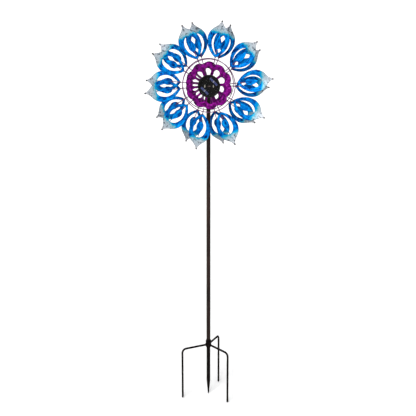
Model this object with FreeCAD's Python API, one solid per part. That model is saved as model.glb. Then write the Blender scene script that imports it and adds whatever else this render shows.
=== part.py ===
import FreeCAD, Part
import math
import os

# Garden wind spinner: two ten-petal rotors turn on one axle, in front of and behind a pole
# that stands on a three-prong ground fork. A round solar lamp sits on the front of the axle.
# Millimetres. +Z is up, the flower faces -Y. z = 0 is ground level, at the collar's lower face.

os.makedirs("parts", exist_ok=True)

# Overall sizes
axle_height = 1339.0
rotor_offset = 62.0
petal_count = 10
front_rest_angle = 5.3
rear_rest_angle = -4.3

# Fits
running_clearance = 0.05
end_float = 0.4
free_gap = 0.3
door_gap = 0.2

# Pole
pole_radius = 10.0
pole_wall = 1.2
pole_end_chamfer = 0.5
pole_joint_fractions = (0.266, 0.602)
spigot_wall = 1.2
spigot_half_length = 40.0
pole_bore = pole_radius - pole_wall
spigot_radius = pole_bore - running_clearance

# Ground fork
collar_wall = 4.5
collar_height = 38.0
collar_chamfer = 2.5
spike_undersize = 0.4
spike_neck_length = 70.0
spike_depth = 261.0
spike_taper = 77.0
spike_tip_radius = 3.0
prong_radius = 5.0
prong_reach = 143.0
prong_drop = 5.5
prong_bend = 21.0
prong_depth = 260.0
prong_tip_chamfer = 1.0
prong_seat = 1.0
prong_azimuths = {"prong_back": 66.0, "prong_left": 200.0, "prong_right": 311.0}
prong_rise = collar_height / 3.0
spike_radius = pole_radius - spike_undersize
collar_radius = spike_radius + collar_wall

# Axle and hubs
axle_radius = 4.0
bush_wall = 2.45
bush_length = 12.0
bush_flange = 1.0
bush_flange_overhang = 2.5
hub_wall = 3.5
hub_flange_overhang = 7.0
hub_nose = 8.0
washer_thickness = 1.6
washer_radius = axle_radius + 5.0
bush_bore = axle_radius + running_clearance
bush_radius = bush_bore + bush_wall
hub_radius = bush_radius + hub_wall
hub_flange_radius = hub_radius + hub_flange_overhang
hub_front = rotor_offset + hub_nose
stack_front = hub_front + end_float + washer_thickness

# Head tee and its screw
tee_wall = 3.0
tee_barrel_wall = 8.0
tee_half_width = 18.0
tee_crown = 10.0
tee_socket_depth = 28.0
head_screw_radius = 2.0
head_screw_head_radius = 3.6
head_screw_head_height = 2.2
head_screw_rise = 12.0
tee_radius = pole_radius + tee_wall
pole_top = axle_height - axle_radius - tee_crown - 2.0 * end_float
tee_bottom = pole_top - tee_socket_depth
hub_back = tee_half_width + washer_thickness + end_float

# Cap nut
cap_nut_wall = 2.5
cap_nut_shoulder = 0.5
cap_nut_hex_height = 6.0
cap_nut_dome_height = 5.0
cap_nut_bore_depth = 7.0
cap_nut_flats = 2.0 * (axle_radius + cap_nut_wall)
cap_nut_dome_radius = axle_radius + cap_nut_wall - cap_nut_shoulder

# Rotor wires and disc
wire_radius = 2.0
ring_radius = 123.5
spoke_seat = 5.0
solder_length = 14.0
disc_radius = 109.5
disc_valley_radius = 98.0
disc_sheet = 1.0
disc_dish_radius = 600.0
disc_hole_outer = 82.5
disc_hole_inner = 40.0
disc_bar = 13.0

# Petals. Stations are (share of the length from base to tip, share of the half width).
petal_base_radius = 132.0
petal_tip_radius = 300.0
petal_half_width = 52.5
petal_sheet = 1.0
petal_cross_radius = 125.0
petal_curl_radius = 300.0
petal_straight_share = 0.324
petal_pitch = 12.0
petal_knob_radius = 4.2
petal_tip_half_width = 2.4
petal_stock_margin = 1.25
petal_sweep_margin = 1.1
petal_outline = (
    (0.0, 0.0),
    (0.055, 0.24),
    (0.130, 0.50),
    (0.200, 0.68),
    (0.324, 0.89),
    (0.505, 1.0),
    (0.610, 0.955),
    (0.705, 0.83),
    (0.786, 0.62),
    (0.852, 0.38),
    (0.910, 0.20),
    (0.962, 0.095),
)
opening_start = 0.090
opening_end = 0.690
opening_half_width = 30.5
opening_outline = (
    (0.0, 0.0),
    (0.12, 0.38),
    (0.32, 0.80),
    (0.57, 1.0),
    (0.82, 0.82),
    (0.95, 0.45),
)
leaf_start = 0.235
leaf_end = 0.644
leaf_half_width = 17.0
leaf_outline = (
    (1.0, 0.0),
    (0.85, 0.22),
    (0.62, 0.68),
    (0.36, 1.0),
    (0.14, 0.80),
    (0.04, 0.44),
)
stem_half_width = 1.3
stem_overlap = 6.0

# Solar lamp
lamp_radius = 52.0
lamp_wall = 2.0
lamp_depth = 26.0
lamp_boss_wall = 5.0
lamp_boss_height = 10.0
lamp_boss_cap = 2.0
bezel_step = 1.5
bezel_step_width = 1.7
bezel_steps = 3
bezel_skirt = 3.0
bezel_floor = 2.0
bezel_ledge = 1.5
bezel_window_rise = 2.0
bezel_lip = 3.0
bezel_lip_wall = 1.6
window_thickness = 2.0
strip_distance_share = 0.672
strip_length_share = 1.07
strip_angle = 45.0
strip_width = 9.5
cell_thickness = 0.6
busbar_width = 4.6
led_radius = 2.5
led_spacing = 20.0
led_count = 3
board_thickness = 1.6
board_clear = 5.0
board_margin = 2.0
post_radius = 4.0
post_inset = 3.0
post_angles = (90.0, 210.0, 330.0)
screw_radius = 1.5
screw_head_radius = 3.0
screw_head_height = 1.8
screw_bite = 3.0
battery_radius = 7.25
battery_length = 50.5
battery_drop = 22.0
battery_lift = 1.5
cradle_wall = 2.0
cradle_height = 12.0
door_length = 58.0
door_width = 20.0
door_tab = 2.0
switch_travel = 4.0
switch_knob = 4.0
switch_knob_reach = 2.0
switch_base = 6.0
switch_base_thickness = 1.2
switch_frame_wall = 1.2
switch_frame_depth = 5.0
lamp_back = stack_front
lamp_rim = lamp_back + lamp_depth
floor_front = lamp_rim + bezel_floor
window_seat = floor_front + bezel_window_rise
window_radius = lamp_radius - bezel_steps * bezel_step_width - bezel_ledge
floor_radius = window_radius - bezel_ledge
strip_distance = strip_distance_share * floor_radius
strip_length = strip_length_share * floor_radius
post_distance = lamp_radius - lamp_wall - post_radius - post_inset
board_radius = lamp_radius - lamp_wall - bezel_lip_wall - board_margin
axle_front = lamp_back + lamp_wall + lamp_boss_height
axle_rear = stack_front + cap_nut_bore_depth
board_back = lamp_rim - board_clear
switch_middle = lamp_back + lamp_depth / 2.0

origin = FreeCAD.Vector(0, 0, 0)
along_x = FreeCAD.Vector(1, 0, 0)
along_y = FreeCAD.Vector(0, 1, 0)
along_z = FreeCAD.Vector(0, 0, 1)


def save(node, shapes):
    """Write one node: a single solid, or a group of equal solids."""
    shape = Part.makeCompound(shapes) if isinstance(shapes, list) else shapes
    shape.exportStep("parts/" + node + ".step")


def turned(points):
    """Turned piece: closed outline of (radius, height) pairs swept round Z."""
    corners = [FreeCAD.Vector(radius, 0, height) for radius, height in points]
    outline = Part.makePolygon(corners + [corners[0]])
    return Part.Face(outline).revolve(origin, along_z, 360.0)


def tube(inner, outer, bottom, top):
    """Plain ring or sleeve between two heights."""
    return turned([(inner, bottom), (outer, bottom), (outer, top), (inner, top)])


def rod(radius, bottom, top, x=0.0, y=0.0):
    """Plain round bar between two heights."""
    return Part.makeCylinder(radius, top - bottom, FreeCAD.Vector(x, y, bottom))


def block(length, width, bottom, top, x=0.0, y=0.0):
    """Rectangular block centred on x, y."""
    corner = FreeCAD.Vector(x - length / 2.0, y - width / 2.0, bottom)
    return Part.makeBox(length, width, top - bottom, corner)


def hexagon(flats, bottom, top):
    """Hexagonal prism given its width across the flats."""
    reach = flats / math.sqrt(3.0)
    corners = []
    for side in range(7):
        angle = math.radians(60.0 * side)
        corners.append(FreeCAD.Vector(reach * math.cos(angle), reach * math.sin(angle), bottom))
    return Part.Face(Part.makePolygon(corners)).extrude(along_z * (top - bottom))


def at_head(shape):
    """Carry a piece from the axle's own frame (Z forward, Y up) to the top of the pole."""
    placed = shape.copy()
    placed.rotate(origin, along_x, 90.0)
    placed.translate(along_z * axle_height)
    return placed


def at_rear(shape):
    """Same, mirrored to the far side of the pole."""
    return at_head(shape).mirror(origin, along_y)


def turned_copy(shape, angle):
    """Copy turned about Z."""
    placed = shape.copy()
    placed.rotate(origin, along_z, angle)
    return placed


# Ground fork


def prong(azimuth):
    """Bent rod: a nearly level arm, a bend and a straight leg with a blunt chamfered end."""
    start = FreeCAD.Vector(spike_radius + prong_seat, 0, prong_rise)
    corner = FreeCAD.Vector(prong_reach, 0, prong_rise - prong_drop)
    arm = corner - start
    arm.normalize()
    bend_angle = math.pi / 2.0 - math.atan2(-arm.z, arm.x)
    setback = prong_bend * math.tan(bend_angle / 2.0)
    bend_start = corner - arm * setback
    bend_end = corner - along_z * setback
    centre = bend_end - along_x * prong_bend
    half = bend_angle / 2.0
    middle = centre + FreeCAD.Vector(math.cos(half), 0, math.sin(half)) * prong_bend
    leg_end = FreeCAD.Vector(prong_reach, 0, -prong_depth + prong_tip_chamfer)
    path = Part.Wire([
        Part.makeLine(start, bend_start),
        Part.Arc(bend_start, middle, bend_end).toShape(),
        Part.makeLine(bend_end, leg_end),
    ])
    section = Part.Wire(Part.makeCircle(prong_radius, start, arm))
    bent = path.makePipeShell([section], True, True)
    tip = Part.makeCone(
        prong_radius - prong_tip_chamfer,
        prong_radius,
        prong_tip_chamfer,
        FreeCAD.Vector(prong_reach, 0, -prong_depth),
    )
    return turned_copy(bent.fuse(tip).removeSplitter(), azimuth)


def ground_fork():
    """Spike, collar and three prongs. The collar sits on the spike's shoulder and is drilled for the prongs."""
    spike = turned([
        (0.0, collar_height + spike_neck_length),
        (spigot_radius, collar_height + spike_neck_length),
        (spigot_radius, 0.0),
        (spike_radius, 0.0),
        (spike_radius, -spike_depth + spike_taper),
        (spike_tip_radius, -spike_depth),
        (0.0, -spike_depth),
    ])
    collar = turned([
        (spigot_radius, 0.0),
        (collar_radius - collar_chamfer, 0.0),
        (collar_radius, collar_chamfer),
        (collar_radius, collar_height - collar_chamfer),
        (collar_radius - collar_chamfer, collar_height),
        (spigot_radius, collar_height),
    ])
    save("centre_spike", spike)
    for node, azimuth in prong_azimuths.items():
        leg = prong(azimuth)
        collar = collar.cut(leg)
        save(node, leg)
    save("fork_collar", collar)


# Pole and head


def pole_tube(bottom, top):
    """One pole section with chamfered ends."""
    return turned([
        (pole_bore, bottom),
        (pole_radius - pole_end_chamfer, bottom),
        (pole_radius, bottom + pole_end_chamfer),
        (pole_radius, top - pole_end_chamfer),
        (pole_radius - pole_end_chamfer, top),
        (pole_bore, top),
    ])


def head_screw():
    """Screw through the back of the tee and the pole's wall."""
    shank = Part.makeCylinder(
        head_screw_radius,
        tee_radius - pole_bore,
        FreeCAD.Vector(0, pole_bore, tee_bottom + head_screw_rise),
        along_y,
    )
    head = Part.makeCylinder(
        head_screw_head_radius,
        head_screw_head_height,
        FreeCAD.Vector(0, tee_radius, tee_bottom + head_screw_rise),
        along_y,
    )
    return shank.fuse(head)


def pole_and_head():
    """Three pole sections, two spigots, the head tee and its screw."""
    bottom = collar_height
    joints = [bottom + share * (pole_top - bottom) for share in pole_joint_fractions]
    levels = [bottom] + joints + [pole_top]
    screw = head_screw()
    upper = pole_tube(levels[2], levels[3])
    save("pole_lower", pole_tube(levels[0], levels[1]))
    save("pole_middle", pole_tube(levels[1], levels[2]))
    save("pole_upper", upper.cut(screw))
    for node, level in zip(("spigot_lower", "spigot_upper"), joints):
        spigot_bottom = level - spigot_half_length
        spigot_top = level + spigot_half_length
        save(node, tube(spigot_radius - spigot_wall, spigot_radius, spigot_bottom, spigot_top))
    socket = rod(tee_radius, tee_bottom, axle_height)
    barrel = at_head(rod(axle_radius + tee_barrel_wall, -tee_half_width, tee_half_width))
    tee = socket.fuse(barrel)
    tee = tee.cut(rod(pole_radius, tee_bottom, pole_top))
    tee = tee.cut(at_head(rod(axle_radius, -tee_half_width, tee_half_width)))
    save("head_tee", tee.cut(screw))
    save("head_screw", screw)


def axle_and_nuts():
    """Axle, its washers and the rear cap nut."""
    save("axle", at_head(rod(axle_radius, -axle_rear, axle_front)))
    inner = tube(axle_radius, washer_radius, tee_half_width, tee_half_width + washer_thickness)
    outer = tube(axle_radius, washer_radius, stack_front - washer_thickness, stack_front)
    save("front_thrust_washers", [at_head(inner), at_head(outer)])
    save("rear_thrust_washers", [at_rear(inner), at_rear(outer)])
    hex_top = stack_front + cap_nut_hex_height
    dome_top = hex_top + cap_nut_dome_height
    tip_radius = cap_nut_dome_radius / 2.0
    dome = Part.makeCone(cap_nut_dome_radius, tip_radius, dome_top - hex_top, along_z * hex_top)
    cap_nut = hexagon(cap_nut_flats, stack_front, hex_top).fuse(dome)
    save("rear_cap_nut", at_rear(cap_nut.cut(rod(axle_radius, stack_front, axle_rear))))


# Rotors


def hub_and_spokes():
    """Hub barrel with a flange, drilled for the spokes, and the spokes themselves."""
    barrel_back = hub_back + bush_flange
    barrel_front = hub_front - bush_flange
    flange_half = 2.0 * wire_radius
    hub = turned([
        (bush_radius, barrel_back),
        (hub_radius, barrel_back),
        (hub_radius, rotor_offset - flange_half),
        (hub_flange_radius, rotor_offset - flange_half),
        (hub_flange_radius, rotor_offset + flange_half),
        (hub_radius, rotor_offset + flange_half),
        (hub_radius, barrel_front),
        (bush_radius, barrel_front),
    ])
    petal_length = petal_tip_radius - petal_base_radius
    spoke_start = hub_flange_radius - spoke_seat
    spoke_end = petal_base_radius + leaf_start * petal_length + solder_length
    spoke = Part.makeCylinder(
        wire_radius,
        spoke_end - spoke_start,
        FreeCAD.Vector(spoke_start, 0, rotor_offset),
        along_x,
    )
    spokes = [turned_copy(spoke, 360.0 * index / petal_count) for index in range(petal_count)]
    for each in spokes:
        hub = hub.cut(each)
    return hub, spokes


def bushes():
    """Two flanged bushes, one in each end of the barrel."""
    flange_radius = bush_bore + bush_wall + bush_flange_overhang
    back = turned([
        (bush_bore, hub_back),
        (flange_radius, hub_back),
        (flange_radius, hub_back + bush_flange),
        (bush_radius, hub_back + bush_flange),
        (bush_radius, hub_back + bush_length),
        (bush_bore, hub_back + bush_length),
    ])
    front = turned([
        (bush_bore, hub_front - bush_length),
        (bush_radius, hub_front - bush_length),
        (bush_radius, hub_front - bush_flange),
        (flange_radius, hub_front - bush_flange),
        (flange_radius, hub_front),
        (bush_bore, hub_front),
    ])
    return [back, front]


def wire_ring():
    """Ring of wire lying on the front of the spokes, between disc and petals."""
    return Part.makeTorus(ring_radius, wire_radius, along_z * (rotor_offset + 2.0 * wire_radius))


def flower_disc():
    """Dished sheet disc with ten scallops and ten round-ended holes, its lobes between the spokes."""
    seat = rotor_offset + 2.0 * wire_radius
    reach = disc_radius + disc_sheet
    rise = disc_dish_radius - math.sqrt(disc_dish_radius ** 2 - reach ** 2)
    half = disc_dish_radius - math.sqrt(disc_dish_radius ** 2 - (reach / 2.0) ** 2)
    low = Part.Arc(
        FreeCAD.Vector(0, 0, seat),
        FreeCAD.Vector(reach / 2.0, 0, seat + half),
        FreeCAD.Vector(reach, 0, seat + rise),
    ).toShape()
    high = low.copy()
    high.translate(along_z * disc_sheet)
    ends = [
        Part.makeLine(low.Vertexes[1].Point, high.Vertexes[1].Point),
        Part.makeLine(low.Vertexes[0].Point, high.Vertexes[0].Point),
    ]
    outline = Part.Wire(Part.__sortEdges__([low, ends[0], high, ends[1]]))
    dish = Part.Face(outline).revolve(origin, along_z, 360.0)
    tall = rise + 2.0 * disc_sheet
    half_step = math.pi / petal_count
    lobe_angle = math.degrees(half_step)
    valley_x = disc_valley_radius * math.cos(half_step)
    lobe_centre = (disc_radius ** 2 - disc_valley_radius ** 2) / (2.0 * (disc_radius - valley_x))
    lobe_radius = disc_radius - lobe_centre
    cutter = rod(valley_x, seat - disc_sheet, seat + tall)
    for index in range(petal_count):
        lobe = rod(lobe_radius, seat - disc_sheet, seat + tall, lobe_centre)
        cutter = cutter.fuse(turned_copy(lobe, lobe_angle * (2 * index + 1)))
    hole_half = disc_hole_outer * math.sin(half_step) / (1.0 + math.sin(half_step)) - disc_bar / 4.0
    hole_centre = disc_hole_outer - hole_half
    inner_half = disc_hole_inner * math.tan(half_step) - disc_bar / 2.0
    for index in range(petal_count):
        corners = [
            FreeCAD.Vector(disc_hole_inner, -inner_half, seat - disc_sheet),
            FreeCAD.Vector(hole_centre, -hole_half, seat - disc_sheet),
            FreeCAD.Vector(hole_centre, hole_half, seat - disc_sheet),
            FreeCAD.Vector(disc_hole_inner, inner_half, seat - disc_sheet),
            FreeCAD.Vector(disc_hole_inner, -inner_half, seat - disc_sheet),
        ]
        throat = Part.Face(Part.makePolygon(corners)).extrude(along_z * (tall + disc_sheet))
        hole = throat.fuse(rod(hole_half, seat - disc_sheet, seat + tall, hole_centre))
        cutter = cutter.cut(turned_copy(hole, lobe_angle * (2 * index + 1)))
    cutter = cutter.cut(rod(hub_radius, seat - disc_sheet, seat + tall))
    return dish.common(cutter)


def smooth_loop(stations, start, length, half_width):
    """Closed flat face from stations of one side: sharp at the first station, round at the far end."""
    far = start + (length if stations[-1][0] > stations[0][0] else 0.0)
    side = [FreeCAD.Vector(start + share * length, width * half_width, 0) for share, width in stations]
    other = [FreeCAD.Vector(point.x, -point.y, 0) for point in reversed(side)]
    curve = Part.BSplineCurve()
    curve.interpolate(side + [FreeCAD.Vector(far, 0, 0)] + other)
    return Part.Face(Part.Wire(curve.toShape()))


def petal_face(length):
    """Flat pattern of a petal: ring with an ogee tip, and a leaf hung in its opening by a stem."""
    side = []
    for share, width in petal_outline:
        side.append(FreeCAD.Vector(petal_base_radius + share * length, width * petal_half_width, 0))
    side.append(FreeCAD.Vector(petal_tip_radius, petal_tip_half_width, 0))
    upper = Part.BSplineCurve()
    upper.interpolate(side)
    lower = Part.BSplineCurve()
    lower.interpolate([FreeCAD.Vector(point.x, -point.y, 0) for point in side])
    tip = Part.makeLine(side[-1], FreeCAD.Vector(petal_tip_radius, -petal_tip_half_width, 0))
    outline = Part.Wire(Part.__sortEdges__([upper.toShape(), tip, lower.toShape()]))
    opening_base = petal_base_radius + opening_start * length
    opening_length = (opening_end - opening_start) * length
    opening = smooth_loop(opening_outline, opening_base, opening_length, opening_half_width)
    leaf_base = petal_base_radius + leaf_start * length
    leaf_length = (leaf_end - leaf_start) * length
    leaf = smooth_loop(leaf_outline, leaf_base, leaf_length, leaf_half_width)
    stem_start = leaf_base + leaf_length - stem_overlap
    stem_end = opening_base + opening_length + stem_overlap
    stem = Part.makePlane(
        stem_end - stem_start,
        2.0 * stem_half_width,
        FreeCAD.Vector(stem_start, -stem_half_width, 0),
    )
    return Part.Face(outline).cut(opening).fuse([leaf, stem])


def petal():
    """Pressed petal: its pattern cut from a trough that curls forward, pitched about its spoke."""
    length = petal_tip_radius - petal_base_radius
    bend_start = petal_base_radius + petal_straight_share * length
    half_angle = math.asin(petal_half_width / petal_cross_radius) * petal_stock_margin
    centre = wire_radius + petal_cross_radius
    arcs = []
    for radius in (petal_cross_radius, petal_cross_radius - petal_sheet):
        points = []
        for turn in (-half_angle, 0.0, half_angle):
            across = radius * math.sin(turn)
            points.append(FreeCAD.Vector(bend_start, across, centre - radius * math.cos(turn)))
        arcs.append((points, Part.Arc(points[0], points[1], points[2]).toShape()))
    outer, inner = arcs
    section = Part.Face(Part.Wire(Part.__sortEdges__([
        outer[1],
        Part.makeLine(outer[0][2], inner[0][2]),
        inner[1],
        Part.makeLine(inner[0][0], outer[0][0]),
    ])))
    straight = section.extrude(along_x * (-petal_sweep_margin * petal_straight_share * length))
    pivot = FreeCAD.Vector(bend_start, 0, wire_radius + petal_curl_radius)
    reach = petal_tip_radius + petal_knob_radius - bend_start
    curl_angle = math.degrees(math.asin(reach / petal_curl_radius)) * petal_sweep_margin
    curled = section.revolve(pivot, -along_y, curl_angle)
    pattern = petal_face(length).extrude(along_z * petal_curl_radius)
    tip_reach = petal_tip_radius - bend_start
    tip_rise = petal_curl_radius - math.sqrt(petal_curl_radius ** 2 - tip_reach ** 2)
    knob_centre = FreeCAD.Vector(petal_tip_radius, 0, wire_radius + tip_rise + petal_sheet / 2.0)
    knob = Part.makeSphere(petal_knob_radius, knob_centre)
    sheet = straight.common(pattern).fuse([curled.common(pattern), knob]).removeSplitter()
    sheet.rotate(origin, along_x, -petal_pitch)
    sheet.translate(along_z * rotor_offset)
    return sheet


def rotor(prefix, rest_angle, place, sheet):
    """All the pieces of one rotor, turned to its rest angle and placed on its side of the pole."""
    hub, spokes = hub_and_spokes()
    save(prefix + "_hub", place(turned_copy(hub, rest_angle)))
    save(prefix + "_spokes", [place(turned_copy(spoke, rest_angle)) for spoke in spokes])
    save(prefix + "_bushes", [place(bush) for bush in bushes()])
    save(prefix + "_wire_ring", place(wire_ring()))
    save(prefix + "_flower_disc", place(turned_copy(flower_disc(), rest_angle)))
    for index in range(petal_count):
        angle = rest_angle + 360.0 * index / petal_count
        save("%s_petal_%02d" % (prefix, index + 1), place(turned_copy(sheet, angle)))


# Solar lamp


def post_points():
    """Centres of the three screw posts."""
    points = []
    for angle in post_angles:
        turn = math.radians(angle)
        points.append((post_distance * math.cos(turn), post_distance * math.sin(turn)))
    return points


def housing_screw(x, y):
    """Screw from the back plate, through post and board, into the bezel's boss."""
    head = rod(screw_head_radius, lamp_back, lamp_back + screw_head_height, x, y)
    tip = board_back + board_thickness + screw_bite
    shank = rod(screw_radius, lamp_back + screw_head_height, tip, x, y)
    return head.fuse(shank)


def back_shell(screws):
    """Cup with a blind boss for the axle, screw posts, battery cradle, door opening and switch slot."""
    inside = lamp_back + lamp_wall
    shell = turned([
        (axle_radius, lamp_back),
        (lamp_radius, lamp_back),
        (lamp_radius, lamp_rim),
        (lamp_radius - lamp_wall, lamp_rim),
        (lamp_radius - lamp_wall, inside),
        (axle_radius + lamp_boss_wall, inside),
        (axle_radius + lamp_boss_wall, axle_front + lamp_boss_cap),
        (0.0, axle_front + lamp_boss_cap),
        (0.0, axle_front),
        (axle_radius, axle_front),
    ])
    for x, y in post_points():
        shell = shell.fuse(rod(post_radius, inside, board_back, x, y))
    wall_x = battery_length / 2.0 + cradle_wall / 2.0
    for x in (-wall_x, wall_x):
        wall = block(cradle_wall, 2.0 * battery_radius, inside, inside + cradle_height, x, -battery_drop)
        shell = shell.fuse(wall)
    for screw in screws:
        shell = shell.cut(screw)
    door_hole = block(battery_length - door_tab, door_width, lamp_back, inside, 0.0, -battery_drop)
    slot_half = (switch_knob + switch_travel) / 2.0 + free_gap
    slot = block(
        switch_knob + 2.0 * free_gap,
        lamp_radius,
        switch_middle - slot_half,
        switch_middle + slot_half,
        0.0,
        -lamp_radius,
    )
    return shell.cut(door_hole).cut(slot)


def bezel(screws):
    """Stepped front ring with a floor for the cells, a ledge for the window, a lip and three bosses."""
    steps = []
    for index in range(bezel_steps):
        radius = lamp_radius - index * bezel_step_width
        height = lamp_rim + bezel_skirt + index * bezel_step
        steps.append((radius, height))
        steps.append((radius - bezel_step_width, height))
    lip_outer = lamp_radius - lamp_wall - free_gap
    crown = window_seat + window_thickness
    outline = [
        (0.0, lamp_rim),
        (lip_outer - bezel_lip_wall, lamp_rim),
        (lip_outer - bezel_lip_wall, lamp_rim - bezel_lip),
        (lip_outer, lamp_rim - bezel_lip),
        (lip_outer, lamp_rim),
        (lamp_radius, lamp_rim),
    ]
    outline += steps
    outline += [
        (steps[-1][0], crown),
        (window_radius, crown),
        (window_radius, window_seat),
        (floor_radius, window_seat),
        (floor_radius, floor_front),
        (0.0, floor_front),
    ]
    ring = turned(outline)
    for x, y in post_points():
        ring = ring.fuse(rod(post_radius, board_back + board_thickness, lamp_rim, x, y))
    for screw in screws:
        ring = ring.cut(screw)
    for led in leds():
        ring = ring.cut(led)
    return ring


def leds():
    """Round-nosed lamps in a row across the middle."""
    lamps = []
    for index in range(led_count):
        x = (index - (led_count - 1) / 2.0) * led_spacing
        stem = rod(led_radius, board_back + board_thickness, floor_front, x)
        foot = FreeCAD.Vector(x, 0, floor_front)
        nose = Part.makeCone(led_radius, led_radius / 2.0, led_radius / 2.0, foot)
        lamps.append(stem.fuse(nose))
    return lamps


def solar_strips():
    """Two diagonal strips, each of two cells with a bar between them."""
    cells = []
    bars = []
    cell_length = (strip_length - busbar_width) / 2.0
    cell_shift = (cell_length + busbar_width) / 2.0
    top = floor_front + cell_thickness
    for angle in (strip_angle, strip_angle + 180.0):
        for shift in (-cell_shift, cell_shift):
            cell = block(strip_width, cell_length, floor_front, top, strip_distance, shift)
            cells.append(at_head(turned_copy(cell, angle)))
        bar = block(strip_width, busbar_width, floor_front, top, strip_distance)
        bars.append(at_head(turned_copy(bar, angle)))
    return cells, bars


def battery_parts():
    """Rechargeable cell between the cradle walls, and the door behind it."""
    inside = lamp_back + lamp_wall
    can = Part.makeCylinder(
        battery_radius,
        battery_length,
        FreeCAD.Vector(-battery_length / 2.0, -battery_drop, inside + battery_lift + battery_radius),
        along_x,
    )
    length = battery_length - door_tab - 2.0 * door_gap
    door = block(length, door_width - 2.0 * door_gap, lamp_back, inside, 0.0, -battery_drop)
    tab_length = length + 2.0 * door_gap + door_tab
    tab = block(tab_length, door_tab, inside, inside + battery_lift, 0.0, -battery_drop)
    return can, door.fuse(tab)


def switch_parts():
    """Slide switch in the underside of the housing: its frame and the slider that runs in it."""
    wall = lamp_radius - lamp_wall
    rest = switch_middle - switch_travel / 2.0
    half_knob = switch_knob / 2.0
    half_base = switch_base / 2.0
    base_outer = wall - 2.0 * free_gap
    base_inner = base_outer - switch_base_thickness
    knob_outer = lamp_radius + switch_knob_reach
    knob_middle = -(knob_outer + base_inner) / 2.0
    base_middle = -(base_outer + base_inner) / 2.0
    knob = block(switch_knob, knob_outer - base_inner, rest - half_knob, rest + half_knob, 0.0, knob_middle)
    base = block(switch_base, switch_base_thickness, rest - half_base, rest + half_base, 0.0, base_middle)
    room_half = (switch_base + switch_travel) / 2.0 + free_gap
    room_width = switch_base + 2.0 * free_gap
    room_inner = base_inner - free_gap
    frame_half = room_half + switch_frame_wall
    frame_width = room_width + 2.0 * switch_frame_wall
    frame_middle = -(wall - switch_frame_depth / 2.0)
    room_middle = -(wall + room_inner) / 2.0
    low = switch_middle - frame_half
    high = switch_middle + frame_half
    frame = block(frame_width, switch_frame_depth, low, high, 0.0, frame_middle)
    room_low = switch_middle - room_half
    room_high = switch_middle + room_half
    frame = frame.cut(block(room_width, wall - room_inner, room_low, room_high, 0.0, room_middle))
    return frame.common(rod(wall, low, high)), knob.fuse(base)


def solar_lamp():
    """All the pieces of the lamp on the front end of the axle."""
    screws = [housing_screw(x, y) for x, y in post_points()]
    save("lamp_back_shell", at_head(back_shell(screws)))
    save("lamp_bezel", at_head(bezel(screws)))
    save("lamp_window", at_head(rod(window_radius, window_seat, window_seat + window_thickness)))
    cells, bars = solar_strips()
    save("solar_cells", cells)
    save("cell_busbars", bars)
    save("led_lamps", [at_head(led) for led in leds()])
    board = rod(board_radius, board_back, board_back + board_thickness)
    for screw in screws:
        board = board.cut(screw)
    save("circuit_board", at_head(board))
    save("housing_screws", [at_head(screw) for screw in screws])
    can, door = battery_parts()
    save("battery", at_head(can))
    save("battery_door", at_head(door))
    frame, slider = switch_parts()
    save("switch_frame", at_head(frame))
    save("switch_slider", at_head(slider))


ground_fork()
pole_and_head()
axle_and_nuts()
petal_sheet_shape = petal()
rotor("front", front_rest_angle, at_head, petal_sheet_shape)
rotor("rear", rear_rest_angle, at_rear, petal_sheet_shape)
solar_lamp()
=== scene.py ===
import math
import bmesh
import bpy
import numpy as np
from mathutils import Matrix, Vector


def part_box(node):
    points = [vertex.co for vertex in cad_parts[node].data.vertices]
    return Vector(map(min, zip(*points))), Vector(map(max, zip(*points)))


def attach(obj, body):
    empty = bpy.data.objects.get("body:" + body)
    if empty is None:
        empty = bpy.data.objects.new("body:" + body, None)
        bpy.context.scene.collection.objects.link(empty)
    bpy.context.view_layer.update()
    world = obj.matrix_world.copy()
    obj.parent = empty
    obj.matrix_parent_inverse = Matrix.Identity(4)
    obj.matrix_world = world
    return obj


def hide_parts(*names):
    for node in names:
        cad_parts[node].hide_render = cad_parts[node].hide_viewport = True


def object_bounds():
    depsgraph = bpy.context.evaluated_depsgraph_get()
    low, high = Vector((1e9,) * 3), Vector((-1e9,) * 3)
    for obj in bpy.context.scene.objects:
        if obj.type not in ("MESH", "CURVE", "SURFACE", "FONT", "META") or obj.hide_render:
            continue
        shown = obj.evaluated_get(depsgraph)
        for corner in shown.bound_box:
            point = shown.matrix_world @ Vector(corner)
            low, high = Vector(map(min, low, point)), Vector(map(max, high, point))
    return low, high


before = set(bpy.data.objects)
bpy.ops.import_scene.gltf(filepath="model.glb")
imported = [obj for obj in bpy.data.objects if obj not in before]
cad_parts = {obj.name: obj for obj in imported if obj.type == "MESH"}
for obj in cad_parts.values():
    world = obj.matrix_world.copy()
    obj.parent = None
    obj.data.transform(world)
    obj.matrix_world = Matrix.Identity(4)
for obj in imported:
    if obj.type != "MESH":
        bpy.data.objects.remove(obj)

# Garden wind spinner: two flowers of painted sheet petals on one axle, a solar lamp in the middle, a
# powder-coated pole and a three-prong ground fork. +Z is up and the flower faces -Y. Sizes in the settings
# are millimetres, and the studio's and camera's are metres. Each rotor piece is drawn round the axle, with
# Z towards its front, and then set in place.

mm = 0.001
cadBox = [list(corner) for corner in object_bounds()]
axleLow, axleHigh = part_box("axle")
axleZ = (axleLow.z + axleHigh.z) / 2.0
petalCount = 10
patternUnit = 100.0  # millimetres to one unit of the pattern map
noiseSpan = {"From Min": 0.3, "From Max": 0.7}  # nearly all of a noise lies between these
bumpStrength = 0.7


def hexColour(text):
    # sRGB hex to linear colour: the straight part below 0.04045, the 2.4 power above it
    parts = np.array([int(text[i:i + 2], 16) for i in (0, 2, 4)]) / 255.0
    linear = np.where(parts <= 0.04045, parts / 12.92, ((parts + 0.055) / 1.055) ** 2.4)
    return tuple(float(value) for value in linear) + (1.0,)


def join(tree, node, links):
    # each source is a node, for its first output, or a node and an output's name or number
    for key, source in links.items():
        origin, output = source if isinstance(source, tuple) else (source, 0)
        tree.links.new(origin.outputs[output], node.inputs[key])


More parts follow.
